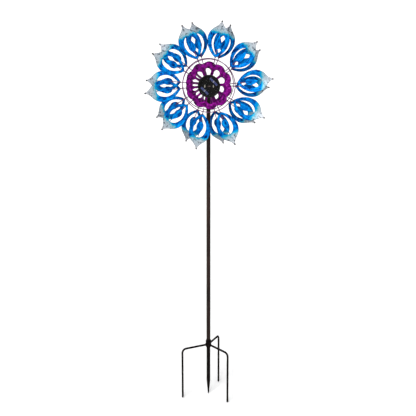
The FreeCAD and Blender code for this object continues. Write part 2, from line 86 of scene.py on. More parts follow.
def addNode(tree, kind, settings=None, inputs=None, links=None, stops=()):
    # one shader node with its settings, its fixed inputs, what feeds it and a colour ramp's stops
    node = tree.nodes.new("ShaderNode" + kind)
    for name, value in (settings or {}).items():
        setattr(node, name, value)
    for key, value in (inputs or {}).items():
        node.inputs[key].default_value = value
    join(tree, node, links or {})
    if stops:
        band = node.color_ramp.elements
        while len(band) < len(stops):
            band.new(1.0)
        for element, (position, shade) in zip(band, stops):
            element.position = position
            element.color = hexColour(shade)
    return node


def newMaterial(name, values):
    # a material with its uniform values set on the shader
    material = bpy.data.materials.new(name)
    material.use_nodes = True
    tree = material.node_tree
    shader = tree.nodes["Principled BSDF"]
    for key, value in values.items():
        shader.inputs[key].default_value = value
    return material, tree, shader


def finishSurface(tree, shader, colour, gloss, rough, height, depth):
    # feeds the shader: its colour, a roughness that runs from low to high with one pattern, and a relief of
    # so many millimetres that follows another
    low, high = rough
    spread = addNode(tree, "MapRange", inputs=noiseSpan | {"To Min": low, "To Max": high},
                     links={"Value": gloss})
    relief = addNode(tree, "Bump", inputs={"Distance": depth * mm, "Strength": bumpStrength},
                     links={"Height": height})
    join(tree, shader, {"Base Color": colour, "Roughness": spread, "Normal": relief})


def paintEdgeShade(tree, colour, patch, look):
    # painted shade: multiplies the colour by a ramp of edge tone + a share of the patch, so that cut edges and
    # creases are darkest, and unevenly so
    edge = addNode(tree, "Attribute", {"attribute_name": "tone"})
    edgeShadeLevel = addNode(tree, "Math", {"operation": "MULTIPLY_ADD"}, {1: look["edgeShadeNoise"]},
                   {0: patch, 2: (edge, "Fac")})
    rim = addNode(tree, "ValToRGB", links={"Fac": edgeShadeLevel}, stops=look["rim"])
    mixed = addNode(tree, "Mix", {"data_type": "RGBA", "blend_type": "MULTIPLY"}, {0: 1.0},
                    {6: colour, 7: rim})
    return mixed, 2


def clouded(name, look):
    # painted, moulded or plated surface: patches of tone as wide as "patch", gloss that follows them, and a
    # fine grain as wide and as deep as "grain" says, in millimetres
    material, tree, shader = newMaterial(name, look.get("values", {}))
    coords = addNode(tree, "TexCoord")
    drawn = addNode(tree, "Mapping", inputs={"Scale": look.get("stretch", (1.0, 1.0, 1.0))},
                    links={"Vector": (coords, "Object")})
    patch = addNode(tree, "TexNoise", inputs={"Scale": 1.0 / (look["patch"] * mm), "Detail": 4.0,
                    "Roughness": 0.62, "Distortion": 0.3}, links={"Vector": drawn})
    tint = addNode(tree, "ValToRGB", links={"Fac": patch}, stops=look["tones"])
    width, depth = look["grain"]
    grain = addNode(tree, "TexNoise", inputs={"Scale": 1.0 / (width * mm), "Detail": 2.0},
                    links={"Vector": (coords, "Object")})
    finishSurface(tree, shader, tint, patch, look["rough"], grain, depth)
    return material


# streak, patch, speck and relief are millimetres. The rest are shares: a streak's width to its length, how
# much of streak and patch is in the tone and in the wander of the lacquer's end, the wander's middle, where
# along the petal the lacquer ends and the specks start, and how much of the patch makes the painted shade
# of the edges uneven; "rim" is the ramp of that painted shade
petalLook = {"streak": 9.0, "stretch": 0.24, "patch": 24.0, "speck": 11.0, "relief": 1.6, "tone": (0.6, 0.4),
             "wander": (0.14, 0.22), "middle": 0.18, "lacquerEnd": (0.64, 0.67), "speckStart": (0.70, 0.78),
             "specks": [(0.35, "2e2e34"), (0.42, "8c8e92"), (0.48, "ffffff")], "edgeShadeNoise": 0.9,
             "rim": [(0.40, "141c28"), (0.66, "8490a0"), (0.92, "ffffff")], "rough": (0.36, 0.58)}


def petalLacquer(name, strokes, cyan, bare):
    # tinted lacquer brushed on steel sheet: strokes of navy and azure run along the petal and stop at a
    # ragged cyan line, beyond which the steel is bare, grey and speckled; painted shade makes the sheet's edges
    # darkest
    look = petalLook
    material, tree, shader = newMaterial(name, {"Metallic": 0.4, "Specular IOR Level": 0.04})
    flat = addNode(tree, "UVMap", {"uv_map": "patternMap"})
    place = addNode(tree, "SeparateXYZ", links={"Vector": flat})
    share = addNode(tree, "Math", {"operation": "MULTIPLY"}, {1: patternUnit / petalLength},
                    {0: (place, "Y")})
    drawn = addNode(tree, "Mapping", inputs={"Scale": (1.0, look["stretch"], 1.0)},
                    links={"Vector": flat})
    streak = addNode(tree, "TexNoise", inputs={"Scale": patternUnit / look["streak"], "Detail": 4.0,
                     "Roughness": 0.7, "Distortion": 0.7}, links={"Vector": drawn})
    patch = addNode(tree, "TexNoise", inputs={"Scale": patternUnit / look["patch"], "Detail": 4.0,
                    "Roughness": 0.6, "Distortion": 0.3}, links={"Vector": flat})
    speck = addNode(tree, "TexNoise", inputs={"Scale": patternUnit / look["speck"], "Detail": 4.0,
                    "Roughness": 0.7}, links={"Vector": flat})
    # tone of the strokes: its two shares of streak and patch added
    ofStreak, ofPatch = look["tone"]
    tone = addNode(tree, "Math", {"operation": "MULTIPLY"}, {1: ofPatch}, {0: patch})
    tone = addNode(tree, "Math", {"operation": "MULTIPLY_ADD"}, {1: ofStreak}, {0: streak, 2: tone})
    blue = addNode(tree, "ValToRGB", links={"Fac": tone}, stops=strokes)
    # share of the petal's length that wanders with streak and patch, so the lacquer's end is ragged
    ofStreak, ofPatch = look["wander"]
    ragged = addNode(tree, "Math", {"operation": "MULTIPLY_ADD"}, {1: ofStreak}, {0: streak, 2: share})
    ragged = addNode(tree, "Math", {"operation": "MULTIPLY_ADD"}, {1: ofPatch}, {0: patch, 2: ragged})
    ragged = addNode(tree, "Math", {"operation": "SUBTRACT"}, {1: look["middle"]}, {0: ragged})
    tip = addNode(tree, "ValToRGB", links={"Fac": ragged}, stops=cyan + bare)
    tipTone = addNode(tree, "ValToRGB", links={"Fac": speck}, stops=look["specks"])
    low, high = look["lacquerEnd"]
    covered = addNode(tree, "MapRange", inputs={"From Min": low, "From Max": high},
                      links={"Value": ragged})
    low, high = look["speckStart"]
    speckled = addNode(tree, "MapRange", inputs={"From Min": low, "From Max": high},
                       links={"Value": ragged})
    tip = addNode(tree, "Mix", {"data_type": "RGBA", "blend_type": "MULTIPLY"},
                  links={0: speckled, 6: tip, 7: tipTone})
    colour = addNode(tree, "Mix", {"data_type": "RGBA"}, links={0: covered, 6: blue, 7: (tip, 2)})
    colour = paintEdgeShade(tree, (colour, 2), patch, look)
    finishSurface(tree, shader, colour, streak, look["rough"], tone, look["relief"])
    return material


# width of the patches and depth of the brushing in millimetres; "rim" is the ramp of the painted shade in
# the creases and at cut edges, made uneven by a share of the patch
discLook = {"patch": 15.0, "relief": 1.4, "rough": (0.34, 0.55), "edgeShadeNoise": 0.7,
            "tones": [(0.36, "220223"), (0.44, "560658"), (0.52, "7a0877"), (0.60, "8a0e88"),
                      (0.72, "b040ae")],
            "rim": [(0.28, "2c1c30"), (0.55, "94869a"), (0.85, "ffffff")]}


def discLacquer():
    # magenta lacquer on pressed steel: mottled by the brush, and nearly black in the creases and at cut edges
    # with painted shade
    look = discLook
    material, tree, shader = newMaterial("lacqueredSteelPurple", {"Metallic": 0.5, "Specular IOR Level": 0.1})
    flat = addNode(tree, "UVMap", {"uv_map": "patternMap"})
    patch = addNode(tree, "TexNoise", inputs={"Scale": patternUnit / look["patch"], "Detail": 4.0,
                    "Roughness": 0.64, "Distortion": 0.5}, links={"Vector": flat})
    tint = addNode(tree, "ValToRGB", links={"Fac": patch}, stops=look["tones"])
    colour = paintEdgeShade(tree, tint, patch, look)
    finishSurface(tree, shader, colour, patch, look["rough"], patch, look["relief"])
    return material


cellLook = {"crystal": 2.4, "fingerGap": 1.6, "fingerShare": 0.14, "slant": 45.0}


def siliconCell():
    # polycrystalline silicon under clear resin: blue crystals crossed by fine slanting silver lines, which
    # lie where the fraction of distance / gap is under the line's share
    look = cellLook
    material, tree, shader = newMaterial("siliconCellBlue", {"Roughness": 0.3, "Coat Weight": 0.2,
                                         "Coat Roughness": 0.08, "Specular IOR Level": 0.2})
    coords = addNode(tree, "TexCoord")
    crystal = addNode(tree, "TexVoronoi", inputs={"Scale": 1.0 / (look["crystal"] * mm)},
                      links={"Vector": (coords, "Object")})
    parts = addNode(tree, "SeparateColor", links={"Color": (crystal, "Color")})
    tint = addNode(tree, "ValToRGB", links={"Fac": parts},
                   stops=[(0.0, "181f4c"), (0.5, "2b3468"), (1.0, "465088")])
    slanted = addNode(tree, "Mapping",
                      inputs={"Rotation": (0.0, math.radians(look["slant"]), 0.0)},
                      links={"Vector": (coords, "Object")})
    axes = addNode(tree, "SeparateXYZ", links={"Vector": slanted})
    run = addNode(tree, "Math", {"operation": "MULTIPLY"}, {1: 1.0 / (look["fingerGap"] * mm)},
                  {0: (axes, "X")})
    run = addNode(tree, "Math", {"operation": "FRACT"}, links={0: run})
    finger = addNode(tree, "Math", {"operation": "LESS_THAN"}, {1: look["fingerShare"]}, {0: run})
    colour = addNode(tree, "Mix", {"data_type": "RGBA"}, {7: hexColour("6c7496")},
                     {0: finger, 6: tint})
    join(tree, shader, {"Base Color": (colour, 2)})
    return material


def clearWindow():
    # clear acrylic disc: almost nothing but a soft gloss with faint wiping marks
    material, tree, shader = newMaterial("acrylicClear", {"Base Color": hexColour("0c0e12"), "Alpha": 0.04,
                                         "IOR": 1.49, "Specular IOR Level": 0.3})
    coords = addNode(tree, "TexCoord")
    wipe = addNode(tree, "TexNoise", inputs={"Scale": 1.0 / (14.0 * mm), "Detail": 3.0},
                   links={"Vector": (coords, "Object")})
    rough = addNode(tree, "MapRange", inputs={"To Min": 0.05, "To Max": 0.2}, links={"Value": wipe})
    join(tree, shader, {"Roughness": rough})
    return material


def circuitBoard():
    # glass-fibre board under green solder resist, with tracks 8 mm apart
    material, tree, shader = newMaterial("solderResistGreen", {"Roughness": 0.32})
    coords = addNode(tree, "TexCoord")
    tracks = addNode(tree, "TexBrick", {"offset": 0.5},
                     {"Scale": 1.0 / (8.0 * mm), "Mortar Size": 0.04, "Color1": hexColour("0e4a26"),
                      "Color2": hexColour("0c3f21"), "Mortar": hexColour("2c7a44")},
                     {"Vector": (coords, "Object")})
    join(tree, shader, {"Base Color": tracks})
    return material


def batterySleeve():
    # heat-shrunk sleeve: green, with a plain pale band at one end
    material, tree, shader = newMaterial("shrinkSleeveGreen", {"Roughness": 0.3})
    coords = addNode(tree, "TexCoord")
    axes = addNode(tree, "SeparateXYZ", links={"Vector": (coords, "Object")})
    band = addNode(tree, "Math", {"operation": "GREATER_THAN"}, {1: 12.0 * mm}, {0: (axes, "X")})
    patch = addNode(tree, "TexNoise", inputs={"Scale": 1.0 / (5.0 * mm)},
                    links={"Vector": (coords, "Object")})
    tint = addNode(tree, "ValToRGB", links={"Fac": patch}, stops=[(0.3, "1d6b3a"), (0.7, "2a8a4c")])
    colour = addNode(tree, "Mix", {"data_type": "RGBA"}, {7: hexColour("d9d9d4")},
                     {0: band, 6: tint})
    join(tree, shader, {"Base Color": (colour, 2)})
    return material


# starts, ends and stations are shares of the petal's length, and the outlines' widths shares of their half
# widths; painted shade darkens the paint over the last "edgeShade" of the ring and "leafShade" of the leaf
petalSpec = {
    "baseRadius": 132.0, "tipRadius": 300.0, "halfWidth": 52.5, "crossRadius": 125.0, "curlRadius": 300.0,
    "straightShare": 0.324, "pitch": 12.0, "wireRadius": 2.0, "sheet": 1.0, "knob": 4.1,
    "openStart": 0.090, "openEnd": 0.690, "openHalf": 30.5,
    "leafStart": 0.235, "leafEnd": 0.644, "leafHalf": 17.0, "neckHalf": 0.9, "stemHalf": 1.3,
    "stemOverlap": 3.0, "edge": 0.4, "halfSheet": 0.42, "edgeShade": 4.5, "leafShade": 4.0, "leafFloor": 0.1,
    "flatEdge": 3.0, "beadRise": 0.35, "beadInset": 2.2, "beadWidth": 1.1, "creaseRise": 0.9, "creaseWidth": 1.6,
    "creaseFull": 8.0, "around": 72, "acrossRing": 11, "acrossLeaf": 9, "leafSteps": 44, "leafCrowding": 1.6,
    "stemSteps": 6,
    "outline": [(0.0, 0.0), (0.055, 0.24), (0.130, 0.50), (0.200, 0.68), (0.324, 0.89), (0.505, 1.0),
                (0.610, 0.955), (0.705, 0.83), (0.786, 0.62), (0.852, 0.38), (0.910, 0.20), (0.962, 0.095),
                (1.0, 0.045)],
    "opening": [(0.0, 0.0), (0.12, 0.38), (0.32, 0.80), (0.57, 1.0), (0.82, 0.82), (0.95, 0.45), (1.0, 0.0)],
    "leaf": [(0.0, 0.0), (0.04, 0.44), (0.14, 0.80), (0.36, 1.0), (0.62, 0.68), (0.85, 0.22), (1.0, 0.05)],
}
petalLength = petalSpec["tipRadius"] - petalSpec["baseRadius"]
curveSteps = 400  # points along a smooth outline before it is evened out

# polyester powder coat, dark brown satin with fine orange peel
coatLook = {"tones": [(0.32, "1c1412"), (0.52, "2a1e1b"), (0.74, "41302a")], "patch": 60.0,
            "stretch": (1.0, 1.0, 0.3), "grain": (2.0, 0.07), "rough": (0.42, 0.6),
            "values": {"Specular IOR Level": 0.08}}
# the same coat on the fork, darker and duller
forkLook = dict(coatLook, tones=[(0.32, "080404"), (0.52, "0e0908"), (0.74, "18100e")], rough=(0.55, 0.75),
                values={"Specular IOR Level": 0.04})
# drawn wire under plum lacquer, rubbed paler in places
wireLook = {"tones": [(0.34, "421a3e"), (0.52, "66305f"), (0.72, "8e6288")], "patch": 9.0,
            "grain": (1.2, 0.10), "rough": (0.3, 0.5),
            "values": {"Metallic": 0.35, "Specular IOR Level": 0.4}}
# soft solder darkened by the flux
solderLook = {"tones": [(0.34, "1c1820"), (0.6, "3c343e"), (0.8, "6a6468")], "patch": 3.0,
              "grain": (1.0, 0.2), "rough": (0.35, 0.6), "values": {"Metallic": 0.6}}
# injection-moulded ABS, black with a spark-eroded grain
housingLook = {"tones": [(0.34, "060506"), (0.55, "0b0a0a"), (0.76, "161413")], "patch": 7.0,
               "grain": (1.5, 0.03), "rough": (0.4, 0.55),
               "values": {"IOR": 1.54, "Specular IOR Level": 0.12}}
# moulded ABS, grey
switchLook = dict(housingLook, tones=[(0.3, "4a4c50"), (0.7, "606368")])
# blackened steel with an oily sheen
hubLook = {"tones": [(0.34, "100e10"), (0.55, "1e1a1c"), (0.76, "383236")], "patch": 8.0, "grain": (1.5, 0.1),
           "rough": (0.3, 0.5), "values": {"Metallic": 0.7}}
# zinc plate: pale, slightly cloudy grey
zincLook = {"tones": [(0.32, "8e9296"), (0.72, "c6c9cc")], "patch": 7.0, "grain": (1.0, 0.05),
            "rough": (0.26, 0.44), "values": {"Metallic": 1.0}}
# nickel plate: brighter and smoother
nickelLook = dict(zincLook, tones=[(0.32, "b9bbbf"), (0.72, "dddfe2")], rough=(0.12, 0.26))
# sintered bronze: brown gold, finely pitted
bronzeLook = dict(zincLook, tones=[(0.32, "7a5430"), (0.72, "a87c48")], grain=(0.8, 0.12), rough=(0.34, 0.5))
# tinned copper strip: silver, dull
stripLook = dict(zincLook, tones=[(0.32, "7e8088"), (0.72, "b4b6bc")], patch=3.0, rough=(0.3, 0.5))
# lamp lens of milky epoxy, its pale colour also a painted highlight on the outer LEDs
lensLook = {"tones": [(0.3, "b4b0a6"), (0.7, "dcd8cc")], "patch": 3.0, "grain": (1.0, 0.03),
            "rough": (0.15, 0.3), "values": {"IOR": 1.53}}
# vacuum-metallised reflector tray
trayLook = dict(zincLook, tones=[(0.34, "8c887e"), (0.7, "c4c0b4")], patch=2.5, rough=(0.2, 0.4))
# the same lens in darker tones: a painted dim highlight on the middle LED and its tray
dimHighlightLook = dict(lensLook, tones=[(0.34, "3c3030"), (0.7, "6e5e5c")])
# bare knob, dark
knobLook = dict(zincLook, tones=[(0.34, "1a1618"), (0.55, "302c2e"), (0.76, "545054")], patch=4.0,
                rough=(0.45, 0.6), values={"Metallic": 0.3, "Specular IOR Level": 0.2})

looks = {
    "frontPetal": petalLacquer(
        "lacqueredSteelBlue",
        [(0.38, "001448"), (0.44, "00408e"), (0.495, "0066be"), (0.555, "0084d8"), (0.63, "00a6f0")],
        [(0.65, "008cd0"), (0.70, "149ec2")], [(0.735, "88b4c2"), (0.80, "aabac4"), (0.94, "babec4")]),
    # the rear petals: the front's lacquer in darker tones, painted shade on the rear flower
    "rearPetal": petalLacquer(
        "lacqueredSteelBlueShaded",
        [(0.38, "000c32"), (0.44, "002c6c"), (0.495, "004e9c"), (0.555, "006cba"), (0.63, "008ed4")],
        [(0.65, "007cb8"), (0.70, "168eae")], [(0.735, "789aa6"), (0.80, "909ea8"), (0.94, "9ea2a8")]),
    "disc": discLacquer(), "cell": siliconCell(), "window": clearWindow(), "board": circuitBoard(),
    "sleeve": batterySleeve(),
    "coat": clouded("powderCoatBrown", coatLook), "fork": clouded("powderCoatFork", forkLook),
    "wire": clouded("lacqueredWirePlum", wireLook), "solder": clouded("softSolder", solderLook),
    "housing": clouded("mouldedAbsBlack", housingLook), "switch": clouded("mouldedAbsGrey", switchLook),
    "hub": clouded("blackenedSteel", hubLook), "zinc": clouded("zincPlatedSteel", zincLook),
    "bright": clouded("nickelPlatedSteel", nickelLook), "bronze": clouded("sinteredBronze", bronzeLook),
    "strip": clouded("tinnedCopperStrip", stripLook), "lens": clouded("epoxyLensMilky", lensLook),
    "tray": clouded("metallisedReflector", trayLook), "dimHighlight": clouded("epoxyLensDimHighlight", dimHighlightLook),
    "knob": clouded("darkenedSteel", knobLook),
}
print("materials ready")


lathed = {"wrapColumns": True, "flip": True}  # grid of a profile carried round a line
hooped = {"wrapRows": True, "wrapColumns": True}  # grid that closes both ways


def gridFaces(rows, columns, wrapRows, wrapColumns, start):
    # quads of a grid stored row by row
    i, j = np.meshgrid(np.arange(rows if wrapRows else rows - 1),
                       np.arange(columns if wrapColumns else columns - 1), indexing="ij")
    nextI, nextJ = (i + 1) % rows, (j + 1) % columns
    quads = np.stack([i * columns + j, nextI * columns + j, nextI * columns + nextJ, i * columns + nextJ], -1)
    return quads.reshape(-1, 4) + start


def meshPiece(name, grids, materials, flip=False, weld=2e-6, sharpAngle=40.0):
    # one mesh from grids, each a dictionary of points (rows, columns, 3) with its wrap flags, material index,
    # pattern map and edge tone, which sets the painted edge shade where a material reads it; rows that meet are
    # welded and corners over the sharp angle kept crisp
    points, faces, slots, maps, tones = [], [], [], [], []
    start = 0
    for grid in grids:
        rows, columns = grid["points"].shape[:2]
        quads = gridFaces(rows, columns, grid.get("wrapRows", False), grid.get("wrapColumns", False), start)
        if flip != grid.get("flip", False):
            quads = quads[:, ::-1]
        points.append(grid["points"].reshape(-1, 3))
        faces.append(quads)
        slots.append(np.full(len(quads), grid.get("slot", 0)))
        maps.append(grid.get("uv", np.zeros((rows, columns, 2))).reshape(-1, 2))
        tones.append(grid.get("tone", np.ones((rows, columns))).reshape(-1))
        start += rows * columns
    mesh = bpy.data.meshes.new(name)
    mesh.from_pydata(np.concatenate(points).tolist(), [], np.concatenate(faces).tolist())
    corners = np.zeros(len(mesh.loops), dtype=np.int32)
    mesh.loops.foreach_get("vertex_index", corners)
    layer = mesh.uv_layers.new(name="patternMap")
    layer.data.foreach_set("uv", np.concatenate(maps)[corners].astype(np.float32).ravel())
    tone = mesh.attributes.new("tone", "FLOAT", "POINT")
    tone.data.foreach_set("value", np.concatenate(tones).astype(np.float32))
    mesh.polygons.foreach_set("material_index", np.concatenate(slots).astype(np.int32))
    for material in materials:
        mesh.materials.append(material)
    work = bmesh.new()
    work.from_mesh(mesh)
    bmesh.ops.remove_doubles(work, verts=work.verts, dist=weld)
    bmesh.ops.dissolve_degenerate(work, dist=weld / 10.0, edges=work.edges)
    for face in work.faces:
        face.smooth = True
    for edge in work.edges:
        if len(edge.link_faces) == 2 and edge.calc_face_angle(0.0) > math.radians(sharpAngle):
            edge.smooth = False
    work.to_mesh(mesh)
    work.free()
    piece = bpy.data.objects.new(name, mesh)
    bpy.context.scene.collection.objects.link(piece)
    return piece


def carry(piece, body, nodes):
    # the piece rides on a body and stands in for CAD nodes
    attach(piece, body)
    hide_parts(*nodes)
    return piece


def ringGrid(profile, steps=96):
    # (radius, height) profile carried round Z: x = r cos a, y = r sin a, z = height
    profile = np.asarray(profile, float)
    angle = np.linspace(0.0, 2.0 * np.pi, steps, endpoint=False)
    height = np.broadcast_to(profile[:, 1:], (len(profile), steps))
    return np.stack([profile[:, :1] * np.cos(angle), profile[:, :1] * np.sin(angle), height], -1)


def beadGrid(ringRadius, beadRadius, ripple=0.0, ripples=11, steps=96):
    # torus whose thickness swells and shrinks: r = bead (1 + ripple sin(ripples a))
    a = np.linspace(0.0, 2.0 * np.pi, steps, endpoint=False)[:, None]
    b = np.linspace(0.0, 2.0 * np.pi, 16, endpoint=False)[None, :]
    thick = beadRadius * (1.0 + ripple * np.sin(ripples * a) + 0.5 * ripple * np.sin(2.3 * ripples * a + 1.0))
    reach = ringRadius + thick * np.cos(b)
    return np.stack([reach * np.cos(a), reach * np.sin(a), thick * np.sin(b) + 0.0 * a], -1)


def roundedProfile(corners, radius, steps=4):
    # open outline with each inner corner turned into a short quadratic arc
    corners = np.asarray(corners, float)
    rows = [corners[0]]
    t = np.linspace(0.0, 1.0, steps + 1)[:, None]
    for before, corner, after in zip(corners[:-2], corners[1:-1], corners[2:]):
        inward, outward = before - corner, after - corner
        reach = min(radius, np.linalg.norm(inward) * 0.45, np.linalg.norm(outward) * 0.45)
        first = corner + inward / np.linalg.norm(inward) * reach
        last = corner + outward / np.linalg.norm(outward) * reach
        rows.extend((1 - t) ** 2 * first + 2 * t * (1 - t) * corner + t ** 2 * last)
    rows.append(corners[-1])
    return np.array(rows)


def toHead(points, side=1.0):
    # from the axle's frame in millimetres to the top of the pole; side -1 is the rear rotor
    return np.stack([points[..., 0] * mm, -side * points[..., 2] * mm, points[..., 1] * mm + axleZ], -1)


def turned(points, degrees):
    # turned about Z: x cos a - y sin a, x sin a + y cos a
    c, s = math.cos(math.radians(degrees)), math.sin(math.radians(degrees))
    return np.stack([points[..., 0] * c - points[..., 1] * s, points[..., 0] * s + points[..., 1] * c,
                     points[..., 2]], -1)


def tubeGrid(path, radii, steps=16):
    # circles square to a path in the XZ plane: offset = across * cos + sideways * sin
    path = np.asarray(path, float)
    tangent = np.gradient(path, axis=0)
    tangent /= np.linalg.norm(tangent, axis=1)[:, None]
    sideways = np.array([0.0, 1.0, 0.0])
    across = np.cross(tangent, sideways)
    angle = np.linspace(0.0, 2.0 * np.pi, steps, endpoint=False)[None, :, None]
    offset = across[:, None, :] * np.cos(angle) + sideways * np.sin(angle)
    return path[:, None, :] + offset * np.asarray(radii, float)[:, None, None]


def smoothCurve(stations, count):
    # cubic Hermite curve through one side's stations, on the square root of chord length: the usual four
    # blends of two points and two slopes
    p = np.asarray(stations, float)
    gap = np.concatenate([[0.0], np.cumsum(np.sqrt(np.linalg.norm(np.diff(p, axis=0), axis=1)))])
    slopes = np.gradient(p, gap, axis=0, edge_order=2)
    t = np.linspace(0.0, gap[-1], count)
    k = np.clip(np.searchsorted(gap, t, side="right") - 1, 0, len(gap) - 2)
    h = (gap[k + 1] - gap[k])[:, None]
    s = ((t - gap[k]) / (gap[k + 1] - gap[k]))[:, None]
    return ((2 * s ** 3 - 3 * s ** 2 + 1) * p[k] + (s ** 3 - 2 * s ** 2 + s) * h * slopes[k]
            + (-2 * s ** 3 + 3 * s ** 2) * p[k + 1] + (s ** 3 - s ** 2) * h * slopes[k + 1])


def evenly(curve, count):
    # the same curve at even steps of its length
    run = np.concatenate([[0.0], np.cumsum(np.linalg.norm(np.diff(curve, axis=0), axis=1))])
    t = np.linspace(0.0, run[-1], count)
    return np.stack([np.interp(t, run, curve[:, i]) for i in range(curve.shape[1])], -1)


def troughPoint(u, v, lift):
    # height of the pressed trough over the spoke, plus a lift along its normal: a circular arc across,
    # straight along near the hub, then rolled forward on a wider arc
    s = petalSpec
    bend = s["baseRadius"] + s["straightShare"] * petalLength
    arc = s["crossRadius"] - s["sheet"] / 2.0
    rise = s["crossRadius"] - np.sqrt(np.maximum(arc ** 2 - v ** 2, 0.0))
    reach = np.maximum(u - bend, 0.0)
    rho = s["curlRadius"] - rise
    height = s["wireRadius"] + s["curlRadius"] - np.sqrt(np.maximum(rho ** 2 - reach ** 2, 0.0))
    normal = np.stack([-reach / rho, -v / arc, np.ones_like(u)], -1)
    normal /= np.linalg.norm(normal, axis=-1)[..., None]
    return np.stack([u, v, height], -1) + normal * np.asarray(lift)[..., None]


def placePetal(points, angle, side, offset):
    # pitched about its spoke (y cos p - z sin p, y sin p + z cos p), turned round the axle and set in its
    # rotor's plane
    pitch = math.radians(-petalSpec["pitch"])
    c, s = math.cos(pitch), math.sin(pitch)
    pitched = np.stack([points[..., 0], points[..., 1] * c - points[..., 2] * s,
                        points[..., 1] * s + points[..., 2] * c + offset], -1)
    return toHead(turned(pitched, angle), side)


def sheetSection(across, edge, half):
    # cross-section of a strip of sheet: shares 0..1 along its front, a rounded edge, back again, an edge
    t = np.linspace(0.0, 1.0, across)
    arc = np.radians([60.0, 20.0, -20.0, -60.0])
    share = np.concatenate([t, np.full(4, 1.0), t[::-1], np.full(4, 0.0)])
    push = np.concatenate([np.zeros(across), edge * np.cos(arc), np.zeros(across), -edge * np.cos(arc)])
    lift = np.concatenate([np.full(across, half), half * np.sin(arc),
                           np.full(across, -half), -half * np.sin(arc)])
    return share, push, lift


def hammered(flat):
    # slow unevenness of hand-formed sheet: two crossed waves, up to half a millimetre either way
    u, v = flat[..., 0], flat[..., 1]
    return 0.35 * np.sin(u / 9.0 + 0.7) * np.sin(v / 7.0 + 0.4) + 0.2 * np.sin(u / 4.3 + v / 5.1)


def petalGrids():
    # flat pattern and lift of the pierced ring and of the leaf on its stem
    s = petalSpec
    scale = np.array([petalLength, s["halfWidth"]])
    outer = smoothCurve(np.array(s["outline"]) * scale + [s["baseRadius"], 0.0], curveSteps)
    openLength = (s["openEnd"] - s["openStart"]) * petalLength
    openBase = s["baseRadius"] + s["openStart"] * petalLength
    inner = smoothCurve(np.array(s["opening"]) * [openLength, s["openHalf"]] + [openBase, 0.0], curveSteps)
    outer, inner = evenly(outer, s["around"]), evenly(inner, s["around"])
    outer[-1, 1] = 0.0
    inner[:, 1] = np.maximum(inner[:, 1], 0.0)
    outer = np.concatenate([outer, outer[-2:0:-1] * [1.0, -1.0]])
    inner = np.concatenate([inner, inner[-2:0:-1] * [1.0, -1.0]])
    gap = outer - inner
    width = np.linalg.norm(gap, axis=1)
    share, push, lift = sheetSection(s["acrossRing"], s["edge"], s["halfSheet"])
    run = s["edge"] + (width[:, None] - 2.0 * s["edge"]) * share + push
    flat = inner[:, None, :] + (gap / width[:, None])[:, None, :] * run[..., None]
    nearEdge = np.minimum(run, width[:, None] - run)
    bead = s["beadRise"] * np.exp(-((nearEdge - s["beadInset"]) / s["beadWidth"]) ** 2)
    # the tone paints shade on the ring, darkest at its cut edges
    ring = {"flat": flat, "lift": lift + bead + hammered(flat) * np.clip(nearEdge / s["flatEdge"], 0.0, 1.0),
            "tone": np.clip(nearEdge / s["edgeShade"], 0.0, 1.0), "closed": True}
    leafLength = (s["leafEnd"] - s["leafStart"]) * petalLength
    leafBase = s["baseRadius"] + s["leafStart"] * petalLength
    side = smoothCurve(np.array(s["leaf"]) * [leafLength, s["leafHalf"]] + [leafBase, 0.0], curveSteps)
    stemEnd = openBase + openLength + s["stemOverlap"]
    crowded = np.linspace(0.0, 1.0, s["leafSteps"]) ** s["leafCrowding"]
    stations = np.concatenate([crowded * leafLength + leafBase,
                               np.linspace(leafBase + leafLength, stemEnd, s["stemSteps"])[1:]])
    half = np.interp(stations, side[:, 0], side[:, 1])
    half = np.maximum(half, np.where(stations > leafBase + 0.5 * leafLength, s["stemHalf"], s["neckHalf"]))
    share, push, lift = sheetSection(s["acrossLeaf"], s["edge"], s["halfSheet"])
    run = half[:, None] * (2.0 * share - 1.0) + push
    flat = np.stack([np.broadcast_to(stations[:, None], run.shape), run], -1)
    nearEdge = half[:, None] - np.abs(run)
    crease = s["creaseRise"] * np.exp(-(run / s["creaseWidth"]) ** 2)
    crease = crease * np.clip(half[:, None] / s["creaseFull"], 0.0, 1.0)
    # the tone paints shade on the leaf, darkest at its edges
    leaf = {"flat": flat,
            "lift": lift + crease + hammered(flat) * np.clip(nearEdge / s["flatEdge"], 0.0, 1.0),
            "tone": np.clip(nearEdge / s["leafShade"] + s["leafFloor"], 0.0, 1.0), "closed": False}
    return [ring, leaf]


def buildPetal(name, angle, side, offset, material):
    # ring, leaf and the knob on the tip
    grids = []
    for part in flatPetal:
        flat, lift, tone = part["flat"], part["lift"], part["tone"]
        points = troughPoint(flat[..., 0], flat[..., 1], lift)
        if not part["closed"]:
            # both ends of the leaf close on their middle points
            first, last = [np.broadcast_to(row.mean(1, keepdims=True), row.shape)
                           for row in (points[:1], points[-1:])]
            points = np.concatenate([first, points, last])
            flat = np.concatenate([flat[:1], flat, flat[-1:]])
            tone = np.concatenate([tone[:1], tone, tone[-1:]])
        pattern = np.stack([flat[..., 1] / patternUnit + angle * 1.7,
                            (flat[..., 0] - petalSpec["baseRadius"]) / patternUnit], -1)
        grids.append({"points": placePetal(points, angle, side, offset), "uv": pattern, "tone": tone,
                      "wrapRows": part["closed"], "wrapColumns": True, "flip": not part["closed"]})
    theta = np.linspace(0.0, np.pi, 13)
    ball = ringGrid(np.stack([np.sin(theta), -np.cos(theta)], -1) * petalSpec["knob"], 20)
    centre = troughPoint(np.array(petalSpec["tipRadius"]), np.array(0.0), np.array(0.0))
    grids.append({"points": placePetal(ball + centre, angle, side, offset), "slot": 1, **lathed})
    return meshPiece(name, grids, [material, looks["knob"]], flip=side < 0)


flatPetal = petalGrids()

discSpec = {"outer": 109.5, "valley": 98.0, "hubRadius": 10.5, "holeOuter": 82.5, "holeInner": 40.0,
            "bar": 13.0, "dish": 600.0, "seat": 4.0, "sheet": 1.0, "emboss": 3.4, "embossFrom": 30.0,
            "embossRun": 40.0, "lipRise": 0.8, "lipWidth": 1.6, "edgeShade": 4.0, "rows": 12, "arcSteps": 15,
            "shortSteps": 6}


